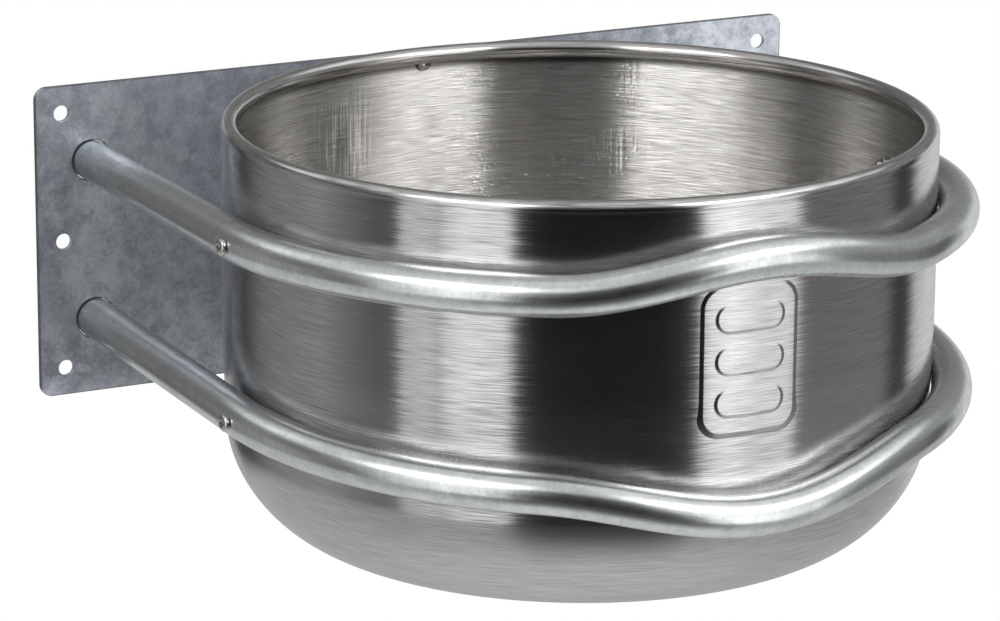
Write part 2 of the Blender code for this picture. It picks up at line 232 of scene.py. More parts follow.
def make_pad(material):
    """A stamped pad on the front of the bowl: a rounded rectangle with three plain bars."""
    half_w, half_h, corner, margin, pitch = 0.0305, 0.0435, 0.012, 0.0022, 0.0004
    mid_turn, mid_z = math.radians(-91.0), 0.006
    pad_rise, bar_rise, soft = 0.00030, 0.00022, 0.0026
    bar_half_w, bar_half_h, bar_corner = 0.0215, 0.0080, 0.0079
    # Beyond the pad's edge the skin dips under the wall, so that no seam shows.
    dip, dip_start, dip_width, lift = 0.0002, 0.0012, 0.0009, 0.00002
    columns = int(2 * (half_w + margin) / pitch)
    rows = int(2 * (half_h + margin) / pitch)
    u = np.linspace(-half_w - margin, half_w + margin, columns + 1)[None, :]
    v = np.linspace(-half_h - margin, half_h + margin, rows + 1)[:, None]

    def step(distance, width):
        t = np.clip(0.5 - distance / width, 0.0, 1.0)
        return t * t * (3.0 - 2.0 * t)

    away = rounded_box_distance(u, v, half_w, half_h, corner)
    rise = pad_rise * step(away, soft)
    for bar_z in (-0.025, 0.0, 0.025):
        from_bar = rounded_box_distance(u, v - bar_z, bar_half_w, bar_half_h, bar_corner)
        rise = rise + bar_rise * step(from_bar, soft)
    rise = rise - dip * np.clip((away - dip_start) / dip_width, 0.0, 1.0) + lift
    radius = BOWL_RADIUS + rise
    turn = mid_turn + u / BOWL_RADIUS + 0.0 * v
    height = mid_z + v + 0.0 * u
    points = np.stack([radius * np.cos(turn), BOWL_AXIS_Y + radius * np.sin(turn), height], axis=-1)
    width = columns + 1
    start = (np.arange(rows)[:, None] * width + np.arange(columns)[None, :]).reshape(-1)
    faces = np.stack([start, start + 1, start + width + 1, start + width], axis=1)
    mesh = bpy.data.meshes.new("bowl_pad")
    mesh.from_pydata(points.reshape(-1, 3).tolist(), [], faces.tolist())
    mesh.update()
    obj = bpy.data.objects.new("bowl_pad", mesh)
    return finish_piece(obj, material, [], sharp=80.0)


# ---------------------------------------------------------------- hoops and plate


def hoop_path(level):
    """Middle line of a hoop: along one arm from the plate, round the bowl, and back along the other arm."""
    steps = 180
    arm_slope, front_slope, bump, half_angle = HOOP_SHAPE[level]
    plate_z = centre(level + "_left_weld").z
    radius = HOOP_RADIUS[level]

    def height(y, turn_deg):
        away = abs(turn_deg + 90.0) / half_angle
        lift = bump * 0.5 * (1.0 + math.cos(math.pi * away)) if away < 1.0 else 0.0
        along_arm = max(0.0, min(abs(y), abs(BOWL_AXIS_Y)) - SQUARE_END)
        past_axis = max(0.0, abs(y) - abs(BOWL_AXIS_Y))
        return plate_z + arm_slope * along_arm + front_slope * past_axis + lift

    arm = [-TUBE_RECESS, -0.004, -SQUARE_END] + list(np.linspace(-0.02, BOWL_AXIS_Y, 21))[:-1]
    points = [(radius, y, height(y, 0.0)) for y in arm]
    for i in range(steps + 1):
        turn = -180.0 * i / steps
        y = BOWL_AXIS_Y + radius * math.sin(math.radians(turn))
        points.append((radius * math.cos(math.radians(turn)), y, height(y, turn)))
    points += [(-radius, y, height(y, 180.0)) for y in reversed(arm)]
    return np.array(points)


def make_hoop(level, material):
    """A tube with its bore, swept along the hoop's middle line."""
    count = 56
    path = hoop_path(level)
    along = np.gradient(path, axis=0)
    along[0] = along[-1] = (0.0, 0.0, 0.0)
    along[0, 1], along[-1, 1] = -1.0, 1.0
    along /= np.linalg.norm(along, axis=1)[:, None]
    side = np.cross(along, (0.0, 0.0, 1.0))
    side /= np.linalg.norm(side, axis=1)[:, None]
    up = np.cross(side, along)
    turns = np.linspace(0.0, math.tau, count, endpoint=False)[None, :, None]
    across = np.cos(turns) * side[:, None, :] + np.sin(turns) * up[:, None, :]
    outer = path[:, None, :] + TUBE_RADIUS * across
    inner = path[:, None, :] + (TUBE_RADIUS - TUBE_WALL) * across
    rings = list(outer) + list(inner[::-1])
    obj = skin(level + "_hoop_tube", rings, cyclic=True)
    return finish_piece(obj, material, [level + "_hoop"])


def add_loop(curve, points):
    spline = curve.splines.new("POLY")
    spline.points.add(len(points) - 1)
    for target, (x, z) in zip(spline.points, points):
        target.co = (x, z, 0.0, 1.0)
    spline.use_cyclic_u = True


def round_loop(x, z, radius, count):
    turns = [math.tau * i / count for i in range(count)]
    return [(x + radius * math.cos(turn), z + radius * math.sin(turn)) for turn in turns]


def make_plate(material):
    """The plate as a filled outline with its holes, and soft sheared edges."""
    size = plate_high - plate_low
    soft, corner_steps = 0.0004, 12
    curve = bpy.data.curves.new("plate_outline", "CURVE")
    curve.dimensions = "2D"
    curve.fill_mode = "BOTH"
    curve.extrude = 0.5 * size.y - soft
    curve.bevel_depth = soft
    curve.bevel_resolution = 2
    curve.offset = -soft
    outline = []
    for quarter in range(4):
        mid_x = (0.5 * size.x - PLATE_CORNER) * (1, -1, -1, 1)[quarter]
        mid_z = (0.5 * size.z - PLATE_CORNER) * (1, 1, -1, -1)[quarter]
        for i in range(corner_steps + 1):
            turn = 0.5 * math.pi * (quarter + i / corner_steps)
            outline.append((mid_x + PLATE_CORNER * math.cos(turn), mid_z + PLATE_CORNER * math.sin(turn)))
    add_loop(curve, outline)
    for x in (-FIXING_X, FIXING_X):
        for z in FIXING_Z:
            add_loop(curve, round_loop(x, z, FIXING_RADIUS, 48))
    for level in LEVELS:
        for side in SIDES:
            spot = centre(level + "_" + side + "_weld")
            add_loop(curve, round_loop(spot.x, spot.z, TUBE_HOLE, 72))
    add_loop(curve, round_loop(0.0, centre("back_screw").z, SCREW_HOLE, 32))
    drawn = bpy.data.objects.new("plate_outline", curve)
    bpy.context.scene.collection.objects.link(drawn)
    bpy.context.view_layer.update()
    depsgraph = bpy.context.evaluated_depsgraph_get()
    mesh = bpy.data.meshes.new_from_object(drawn.evaluated_get(depsgraph))
    bpy.data.objects.remove(drawn, do_unlink=True)
    mesh.name = "wall_plate_sheet"
    mesh.materials.clear()
    obj = bpy.data.objects.new("wall_plate_sheet", mesh)
    turn = Matrix.Translation((0.0, -0.5 * size.y, 0.0)) @ Matrix.Rotation(0.5 * math.pi, 4, "X")
    return finish_piece(obj, material, ["wall_plate"], turn, sharp=30.0)


def make_weld(node, seed, material):
    """A rippled bead between the end of a tube and the plate, seen from the back."""
    around, count = 10, 96
    bead_radius, bead_width, bead_height, widest = 0.01165, 0.00092, 0.00052, 0.01275
    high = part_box(node)[1]
    mid = centre(node)
    random = np.random.default_rng(seed)
    phase = random.uniform(0.0, math.tau, 4)
    rings = []
    for k in range(around):
        turn = math.tau * k / around
        ring = []
        for i in range(count):
            t = math.tau * i / count
            swell = 1.0 + 0.10 * math.sin(23 * t + phase[0]) + 0.08 * math.sin(9 * t + phase[1])
            swell += 0.06 * math.sin(4 * t + phase[2])
            radius = min(bead_radius + bead_width * swell * math.cos(turn), widest)
            depth = min(mid.y + bead_height * swell * math.sin(turn), high.y)
            ring.append((mid.x + radius * math.cos(t), depth, mid.z + radius * math.sin(t)))
        rings.append(ring)
    obj = skin(node + "_bead", rings, cyclic=True)
    return finish_piece(obj, material, [node], sharp=80.0)


# ---------------------------------------------------------------- fasteners


def hexagon(across_flats, turn):
    """Distance from the middle to a hexagon's outline at this angle."""
    inside = (turn % (math.pi / 3)) - math.pi / 6
    return 0.5 * across_flats / math.cos(inside)


def ring_at(radius, height, count):
    """A ring of points. The radius is a number, or a function of the angle."""
    ring = []
    for i in range(count):
        turn = math.tau * i / count
        reach = radius(turn) if callable(radius) else radius
        ring.append((reach * math.cos(turn), reach * math.sin(turn), height))
    return ring


def aim(location, direction):
    """Turns local +Z to this direction, at this place."""
    return Matrix.Translation(location) @ Vector(direction).to_track_quat("Z", "Y").to_matrix().to_4x4()


def make_screw(name, length, matrix, material, nodes):
    """M6 button head with a hexagon socket. Its underside is at height 0."""
    count, dome_steps, dome_base, dome_rise = 60, 8, 0.0008, 0.0026
    socket, socket_mouth, socket_depth, socket_point = 0.0040, 0.0043, 0.0019, 0.0024
    tip_radius, tip_bevel, dome_step_deg = 0.0025, 0.0005, 7.6
    rings = [ring_at(tip_radius, -length, count), ring_at(SHANK_RADIUS, -length + tip_bevel, count)]
    rings += [ring_at(SHANK_RADIUS, 0.0, count), ring_at(0.0050, 0.0, count)]
    rings += [ring_at(HEAD_RADIUS, 0.0003, count), ring_at(HEAD_RADIUS, 0.0007, count)]
    for i in range(1, dome_steps + 1):
        turn = math.radians(90.0 - dome_step_deg * i)
        rings.append(ring_at(HEAD_RADIUS * math.sin(turn), dome_base + dome_rise * math.cos(turn), count))
    rim = rings[-1][0][2]
    rings.append(ring_at(0.00285, rim + 0.00022, count))
    rings.append(ring_at(0.00262, rim + 0.00024, count))
    rings.append(ring_at(lambda t: hexagon(socket_mouth, t), rim + 0.00016, count))
    rings.append(ring_at(lambda t: hexagon(socket, t), rim - 0.00012, count))
    rings.append(ring_at(lambda t: hexagon(socket, t), rim - socket_depth, count))
    obj = skin(name, rings, start=(0.0, 0.0, -length), end=(0.0, 0.0, rim - socket_point))
    return finish_piece(obj, material, nodes, matrix, sharp=35.0)


def make_washer(name, matrix, material, nodes):
    """Plain M6 washer with softened edges. Its lower face is at height 0."""
    outer, inner, thick, soft = 0.006, 0.0033, WASHER_THICKNESS, 0.00025
    profile = [(inner, soft), (inner + soft, 0.0), (outer - soft, 0.0), (outer, soft)]
    profile += [(outer, thick - soft), (outer - soft, thick), (inner + soft, thick), (inner, thick - soft)]
    obj = skin(name, turned(profile, 64), cyclic=True)
    return finish_piece(obj, material, nodes, matrix)


def make_cap_nut(name, matrix, material, nodes):
    """Domed M6 nut. Its flat face is at height 0 and its dome points up."""
    count, dome_steps = 96, 12
    hex_top, dome, top = 0.0055, 0.0046, 0.0105
    # The corners of the hexagon are turned off near both ends, down to this radius.
    turned_radius, unlimited = 0.0049, 1.0
    low_end, high_end = 0.0012, hex_top - 0.0010
    shapes = []
    for height in (0.0, 0.00015, 0.0004, 0.0008, low_end):
        shapes.append((turned_radius + 1.7 * height if height < low_end else unlimited, height))
    for height in (high_end, hex_top - 0.0006, hex_top - 0.0003, hex_top):
        shapes.append((turned_radius + 1.1 * (hex_top - height) if height > high_end else unlimited, height))
    rings = []
    for limit, height in shapes:
        rings.append(ring_at(lambda t, m=limit: min(hexagon(NUT_FLATS, t), m), height, count))
    rings.append(ring_at(dome + 0.0001, hex_top + 0.00003, count))
    rings.append(ring_at(dome, hex_top + 0.0003, count))
    dome_base = hex_top + 0.0004
    for i in range(1, dome_steps):
        turn = 0.5 * math.pi * i / dome_steps
        height = dome_base + (top - hex_top - 0.0004) * math.sin(turn)
        rings.append(ring_at(dome * math.cos(turn), height, count))
    obj = skin(name, rings, start=(0.0, 0.0, 0.0), end=(0.0, 0.0, top))
    return finish_piece(obj, material, nodes, matrix, sharp=28.0)


# ---------------------------------------------------------------- materials


class Nodes:
    """Short calls for building a shader tree."""

    def __init__(self, tree):
        self.tree = tree

    def new(self, kind, **values):
        node = self.tree.nodes.new("ShaderNode" + kind)
        for key, value in values.items():
            setattr(node, key, value)
        return node

    def feed(self, socket, value):
        if isinstance(value, bpy.types.NodeSocket):
            self.tree.links.new(value, socket)
        elif value is not None:
            socket.default_value = value

    def math(self, operation, a, b=None, clamp=False):
        node = self.new("Math", operation=operation, use_clamp=clamp)
        self.feed(node.inputs[0], a)
        self.feed(node.inputs[1], b)
        return node.outputs[0]

    def span(self, value, low, high, to_low=0.0, to_high=1.0, kind="SMOOTHSTEP"):
        node = self.new("MapRange", interpolation_type=kind, clamp=True)
        for socket, number in zip(node.inputs, (value, low, high, to_low, to_high)):
            self.feed(socket, number)
        return node.outputs[0]

    def vector(self, operation, a, b=None):
        node = self.new("VectorMath", operation=operation)
        self.feed(node.inputs[0], a)
        if b is not None:
            self.feed(node.inputs[1], b)
        return node.outputs[1] if operation in ("LENGTH", "DOT_PRODUCT") else node.outputs[0]

    def scaled(self, vector, factor):
        node = self.new("VectorMath", operation="SCALE")
        self.feed(node.inputs[0], vector)
        self.feed(node.inputs["Scale"], factor)
        return node.outputs[0]

    def join(self, x, y, z):
        node = self.new("CombineXYZ")
        for socket, number in zip(node.inputs, (x, y, z)):
            self.feed(socket, number)
        return node.outputs[0]

    def split(self, vector):
        node = self.new("SeparateXYZ")
        self.feed(node.inputs[0], vector)
        return node.outputs

    def noise(self, vector, scale, detail=2.0, roughness=0.5, distortion=0.0):
        node = self.new("TexNoise")
        self.feed(node.inputs["Vector"], vector)
        node.inputs["Scale"].default_value = scale
        node.inputs["Detail"].default_value = detail
        node.inputs["Roughness"].default_value = roughness
        node.inputs["Distortion"].default_value = distortion
        return node.outputs["Fac"]

    def mix(self, factor, a, b):
        """Mixes two colours, each a socket or three numbers."""
        node = self.new("Mix", data_type="RGBA")
        self.feed(node.inputs["Factor"], factor)
        for key, colour in (("A", a), ("B", b)):
            socket = [s for s in node.inputs if s.name == key and s.type == "RGBA"][0]
            self.feed(socket, colour if isinstance(colour, bpy.types.NodeSocket) else (*colour, 1.0))
        return [s for s in node.outputs if s.type == "RGBA"][0]

    def ramp(self, factor, stops):
        """A grey ramp with straight lines between its (place, value) stops."""
        node = self.new("ValToRGB")
        self.feed(node.inputs[0], factor)
        elements = node.color_ramp.elements
        while len(elements) > 1:
            elements.remove(elements[-1])
        for k, (place, value) in enumerate(stops):
            element = elements[0] if k == 0 else elements.new(place)
            element.position = place
            element.color = (value, value, value, 1.0)
        return node.outputs[0]

    def bump(self, height, distance, strength, normal=None):
        node = self.new("Bump")
        node.inputs["Strength"].default_value = strength
        node.inputs["Distance"].default_value = distance
        self.feed(node.inputs["Height"], height)
        if normal is not None:
            self.feed(node.inputs["Normal"], normal)
        return node.outputs[0]


def new_material(name, metallic=1.0):
    """A material with its tree helper and its Principled shader."""
    made = bpy.data.materials.new(name)
    made.use_nodes = True
    shader = made.node_tree.nodes["Principled BSDF"]
    shader.inputs["Metallic"].default_value = metallic
    return made, Nodes(made.node_tree), shader


def steel_material(name, inside):
    """Stainless sheet brushed round the bowl. Each brush line tilts the surface a little, so reflections
    smear upwards and break up into lines. Inside, the lines are coarser and lean upwards on average, and
    scratches and chatter marks cross them. The spun rim is brushed more lightly than the wall."""
    made, g, shader = new_material(name)
    # Cells round the bowl for each unit of direction, and cells for each metre across the lines.
    medium_cells = (3.2, 1600.0) if inside else (5.0, 2100.0)
    fine_cells = (7.0, 2600.0) if inside else (10.0, 3200.0)
    sway_cells = (4.0, 700.0) if inside else (4.0, 1500.0)
    wander = 0.007 if inside else 0.004
    inside_lean = 0.26  # a tilt of about 15 degrees
    scratched_turn, scratched_z, chatter_turn = -0.34, 0.052, 0.40
    place = g.new("TexCoord").outputs["Object"]
    off = g.vector("SUBTRACT", place, (0.0, BOWL_AXIS_Y, 0.0))
    x, y, z = g.split(off)
    radius = g.vector("LENGTH", g.join(x, y, 0.0))
    way = g.vector("NORMALIZE", g.join(x, y, 0.0))
    wx, wy, _ = g.split(way)
    # The lines wander up and down a little.
    drift = g.math("MULTIPLY", g.math("SUBTRACT", g.noise(place, 5.0, 1.0), 0.5), wander)
    along = g.math("ADD", g.math("ADD", z, radius), drift)

    def streaks(cells, detail, shift=0.0):
        turn_scale, line_scale = cells
        across = g.math("ADD", g.math("MULTIPLY", along, line_scale), shift)
        spot = g.join(g.math("MULTIPLY", wx, turn_scale), g.math("MULTIPLY", wy, turn_scale), across)
        return g.noise(spot, 1.0, detail, 0.6)

    def weighed(parts):
        total = None
        for part, weight in parts:
            share = g.math("MULTIPLY", g.math("SUBTRACT", part, 0.5), weight)
            total = share if total is None else g.math("ADD", total, share)
        return total

    broad = streaks((2.5, 230.0), 3.0)
    medium = streaks(medium_cells, 2.0)
    fine = streaks(fine_cells, 1.0)
    sway = streaks(sway_cells, 2.0, 7.3)
    cloud = g.noise(place, 9.0, 3.0, 0.5)
    if inside:
        # Turned marks inside lean upwards, so the wall picks up what is above the near rim.
        finest = streaks((14.0, 4300.0), 0.0, 3.1)
        lift = weighed([(finest, 0.55), (fine, 0.26), (medium, 0.12), (broad, 0.04)])
        lift = g.math("SUBTRACT", lift, inside_lean)
        lean = weighed([(sway, 0.08)])
    else:
        lift = weighed([(fine, 0.22), (medium, 0.09), (broad, 0.02)])
        lean = weighed([(sway, 0.07)])
    rim = g.span(z, RIM_TOP - 0.0105, RIM_TOP - 0.0080)
    lift = g.math("MULTIPLY", lift, g.span(rim, 0.0, 1.0, 1.0, 0.5, "LINEAR"))
    tone = g.math("ADD", weighed([(fine, 1.9), (medium, 0.9), (broad, 0.3)]), 0.5, clamp=True)
    if inside:
        turn = g.math("ARCTAN2", wx, wy)
        # Upright scratches across the lines in patches, densest in one patch on the left of the back.
        beside = g.math("ABSOLUTE", g.math("SUBTRACT", turn, scratched_turn))
        above = g.math("ABSOLUTE", g.math("SUBTRACT", z, scratched_z))
        left = g.math("MULTIPLY", g.span(beside, 0.19, 0.09), g.span(above, 0.040, 0.012))
        patch = g.math("MULTIPLY", g.span(g.noise(place, 13.0, 2.0, 0.5), 0.54, 0.66), 0.45)
        patch = g.math("MAXIMUM", left, patch)
        spot = g.join(g.math("MULTIPLY", turn, 150.0), g.math("MULTIPLY", z, 14.0), 0.0)
        upright = g.math("MULTIPLY", g.math("SUBTRACT", g.noise(spot, 1.0, 2.0, 0.6), 0.5), patch)
        lean = g.math("ADD", lean, g.math("MULTIPLY", upright, 0.42))
        tone = g.math("ADD", tone, g.math("MULTIPLY", upright, 1.5), clamp=True)
        # Rows of short slanting chatter marks, right of the middle of the back.
        slant = g.math("ADD", g.math("MULTIPLY", turn, 60.0), g.math("MULTIPLY", z, 110.0))
        cells = g.new("TexVoronoi", feature="F1")
        g.feed(cells.inputs["Vector"], g.join(slant, g.math("MULTIPLY", z, 600.0), 0.0))
        cells.inputs["Scale"].default_value = 1.0
        ticks = g.span(cells.outputs["Distance"], 0.55, 0.05)
        some = g.span(g.split(cells.outputs["Color"])[0], 0.15, 0.95)
        zone = g.span(g.math("ABSOLUTE", g.math("SUBTRACT", turn, chatter_turn)), 0.42, 0.22)
        zone = g.math("MULTIPLY", zone, g.span(g.noise(place, 26.0, 2.0), 0.36, 0.62))
        ticks = g.math("MULTIPLY", g.math("MULTIPLY", ticks, some), zone)
        tone = g.math("ADD", tone, g.math("MULTIPLY", ticks, 0.6), clamp=True)
    tangent = g.vector("CROSS_PRODUCT", (0.0, 0.0, 1.0), way)
    facing = g.new("NewGeometry").outputs["Normal"]
    upward = g.vector("CROSS_PRODUCT", facing, tangent)
    normal = g.vector("ADD", facing, g.scaled(upward, lift))
    normal = g.vector("NORMALIZE", g.vector("ADD", normal, g.scaled(tangent, lean)))
    if inside:
        normal = g.bump(ticks, 0.00008, 0.8, normal)
    dark = (0.45, 0.435, 0.412) if inside else (0.42, 0.412, 0.402)
    light = (0.82, 0.805, 0.775) if inside else (0.84, 0.832, 0.82)
    colour = g.mix(tone, dark, light)
    if inside:
        # Painted shade: a dark line painted into the inside colour under the roll, where the roll shades the
        # wall.
        from_below = g.span(z, RIM_TOP - 0.0175, RIM_TOP - 0.0125)
        from_above = g.span(z, RIM_TOP - 0.0085, RIM_TOP - 0.0105)
        painted_shade_line = g.math("MULTIPLY", g.math("MULTIPLY", from_below, from_above), 0.75)
        colour = g.mix(painted_shade_line, colour, (0.10, 0.095, 0.09))
    g.feed(shader.inputs["Base Color"], colour)
    low, high = (0.22, 0.25) if inside else (0.155, 0.18)
    rough = g.span(tone, 0.0, 1.0, high, low, "LINEAR")
    rough = g.math("ADD", rough, g.span(cloud, 0.3, 0.7, -0.012, 0.016, "LINEAR"))
    g.feed(shader.inputs["Roughness"], g.span(rim, 0.0, 1.0, rough, 0.16, "LINEAR"))
    shader.inputs["Anisotropic"].default_value = 0.97 if inside else 0.85
    shader.inputs["Anisotropic Rotation"].default_value = 0.25
    g.feed(shader.inputs["Tangent"], tangent)
    g.feed(shader.inputs["Normal"], normal)
    return made


def zinc_material(name, plate):
    """Hot-dip zinc: blue-grey clouds over fine mottling, dull specks, a few nicks and a faintly uneven
    surface. The plate is darker and duller than the tubes."""
    made, g, shader = new_material(name, 0.85 if plate else 1.0)
    speck_share, grain_share = (0.6, 0.6) if plate else (0.3, 0.3)
    wave_height, grain_height = (0.0006, 0.00014) if plate else (0.0005, 0.0001)
    place = g.new("TexCoord").outputs["Object"]
    large = g.noise(place, 16.0, 3.0, 0.55, 0.5)
    middle = g.noise(place, 95.0, 4.0, 0.65, 0.4)
    grain = g.noise(place, 420.0, 3.0, 0.65)
    cells = g.new("TexVoronoi", feature="F1")
    g.feed(cells.inputs["Vector"], place)
    cells.inputs["Scale"].default_value = 130.0
    cell_tone = g.split(cells.outputs["Color"])[0]
    mottle = g.math("ADD", g.math("MULTIPLY", large, 0.34), g.math("MULTIPLY", middle, 0.38))
    mottle = g.math("ADD", mottle, g.math("MULTIPLY", cell_tone, 0.06))
    mottle = g.math("ADD", mottle, g.math("MULTIPLY", grain, 0.22))
    tone = g.span(mottle, 0.41, 0.575, 0.0, 1.0, "LINEAR")
    if plate:
        colour = g.mix(tone, (0.46, 0.495, 0.56), (0.80, 0.84, 0.91))
    else:
        colour = g.mix(tone, (0.70, 0.73, 0.735), (0.87, 0.90, 0.905))
    specks = g.span(g.noise(place, 330.0, 2.0, 0.7), 0.69, 0.76)
    colour = g.mix(g.math("MULTIPLY", specks, speck_share), colour, (0.20, 0.22, 0.25))
    nicks = g.new("TexVoronoi", feature="F1")
    g.feed(nicks.inputs["Vector"], place)
    nicks.inputs["Scale"].default_value = 26.0
    ragged = g.math("MULTIPLY", g.math("SUBTRACT", grain, 0.5), 0.12)
    spot = g.span(g.math("ADD", nicks.outputs["Distance"], ragged), 0.045, 0.02)
    chosen = g.span(g.split(nicks.outputs["Color"])[1], 0.80, 0.82)
    colour = g.mix(g.math("MULTIPLY", spot, chosen), colour, (0.95, 0.96, 0.98))
    low, high = (0.36, 0.52) if plate else (0.22, 0.285)
    if plate:
        # Painted shade: a dark ring painted round each tube where it enters its hole, and a grimy line along
        # the sheared edges.
        px, _, pz = g.split(place)
        painted_shade_line = None
        for level in LEVELS:
            for side in SIDES:
                mid = centre(level + "_" + side + "_weld")
                aside = g.join(g.math("SUBTRACT", px, mid.x), g.math("SUBTRACT", pz, mid.z), 0.0)
                away = g.vector("LENGTH", aside)
                painted_shade_line = away if painted_shade_line is None else g.math("MINIMUM", painted_shade_line, away)
        painted_shade_line = g.span(painted_shade_line, 0.0140, 0.0131)
        size = plate_high - plate_low
        edge = g.math("MINIMUM", g.math("SUBTRACT", 0.5 * size.x, g.math("ABSOLUTE", px)),
                      g.math("SUBTRACT", 0.5 * size.z, g.math("ABSOLUTE", pz)))
        edge = g.math("MULTIPLY", g.span(edge, 0.0012, 0.0002), 0.75)
        colour = g.mix(g.math("MAXIMUM", painted_shade_line, edge), colour, (0.10, 0.105, 0.11))
    else:
        # Painted shade: the tube is painted dark in the narrow gap between tube and bowl, strongest at the
        # left of the front, across from the dark part of the studio.
        gap_shade_way, gap_shade_start, gap_shade_full = (-0.3827, -0.9239, 0.0), 0.955, 0.985
        px, py, _ = g.split(g.vector("SUBTRACT", place, (0.0, BOWL_AXIS_Y, 0.0)))
        reach = g.vector("LENGTH", g.join(px, py, 0.0))
        painted_gap_shade = g.span(reach, BOWL_RADIUS + 0.0120, BOWL_RADIUS + 0.0080)
        ahead = g.vector("DOT_PRODUCT", g.vector("NORMALIZE", g.join(px, py, 0.0)), gap_shade_way)
        painted_gap_shade = g.math("MULTIPLY", painted_gap_shade, g.span(ahead, gap_shade_start, gap_shade_full, 0.25, 0.75))
        colour = g.mix(painted_gap_shade, colour, (0.07, 0.07, 0.068))
    g.feed(shader.inputs["Base Color"], colour)
    g.feed(shader.inputs["Roughness"], g.span(mottle, 0.38, 0.60, high, low, "LINEAR"))
    wave = g.bump(g.noise(place, 38.0, 2.0, 0.5), wave_height, 0.25)
    surface = g.math("ADD", middle, g.math("MULTIPLY", grain, grain_share))
    g.feed(shader.inputs["Normal"], g.bump(surface, grain_height, 0.6, wave))
    return made


def fastener_material():
    """Bright turned stainless with a fine grain."""
    made, g, shader = new_material("turned_stainless")
    place = g.new("TexCoord").outputs["Object"]
    grain = g.noise(place, 900.0, 3.0, 0.6)
    smear = g.noise(place, 160.0, 2.0, 0.5)
    tone = g.math("ADD", g.math("MULTIPLY", grain, 0.5), g.math("MULTIPLY", smear, 0.5))
    colour = g.mix(g.span(tone, 0.35, 0.65), (0.56, 0.54, 0.51), (0.74, 0.73, 0.70))
    g.feed(shader.inputs["Base Color"], colour)
    g.feed(shader.inputs["Roughness"], g.span(tone, 0.3, 0.7, 0.16, 0.30, "LINEAR"))
    g.feed(shader.inputs["Normal"], g.bump(grain, 0.00006, 0.4))
    return made


def weld_material():
    """Dull grey zinc-coated weld metal."""
    made, g, shader = new_material("zinc_weld", 0.9)
    place = g.new("TexCoord").outputs["Object"]
    grain = g.noise(place, 700.0, 4.0, 0.65)
    patch = g.noise(place, 130.0, 2.0, 0.5)
    colour = g.mix(g.span(patch, 0.35, 0.65), (0.40, 0.41, 0.42), (0.60, 0.61, 0.61))
    g.feed(shader.inputs["Base Color"], colour)
    g.feed(shader.inputs["Roughness"], g.span(grain, 0.3, 0.7, 0.42, 0.66, "LINEAR"))
    g.feed(shader.inputs["Normal"], g.bump(grain, 0.0002, 0.6))
    return made


# ---------------------------------------------------------------- studio

# The camera, fitted to the photo.
YAW, PITCH, ROLL = math.radians(27.007), math.radians(15.544), math.radians(0.364)
CAMERA_PLACE = (-1.2763, -2.6204, 0.7352)
LENS_MM, SENSOR_MM = 165.81, 36.0
FLOOR_Z = -0.62
FLOOR_MIDDLE = (0.0, -0.2)


def make_camera():
    """The photo's camera: turned by its yaw, tipped down by its pitch and rolled a little."""
    forward = Vector((math.sin(YAW) * math.cos(PITCH), math.cos(YAW) * math.cos(PITCH), -math.sin(PITCH)))
    right = Vector((math.cos(YAW), -math.sin(YAW), 0.0))
    up = right.cross(forward)
    x_axis = math.cos(ROLL) * right + math.sin(ROLL) * up
    y_axis = -math.sin(ROLL) * right + math.cos(ROLL) * up
    data = bpy.data.cameras.new("camera")
    data.sensor_fit = "HORIZONTAL"
    data.sensor_width = SENSOR_MM
    data.lens = LENS_MM
    camera = bpy.data.objects.new("camera", data)
    matrix = Matrix((x_axis, y_axis, -forward)).transposed().to_4x4()
    matrix.translation = CAMERA_PLACE
    camera.matrix_world = matrix
    bpy.context.scene.collection.objects.link(camera)
    bpy.context.scene.camera = camera


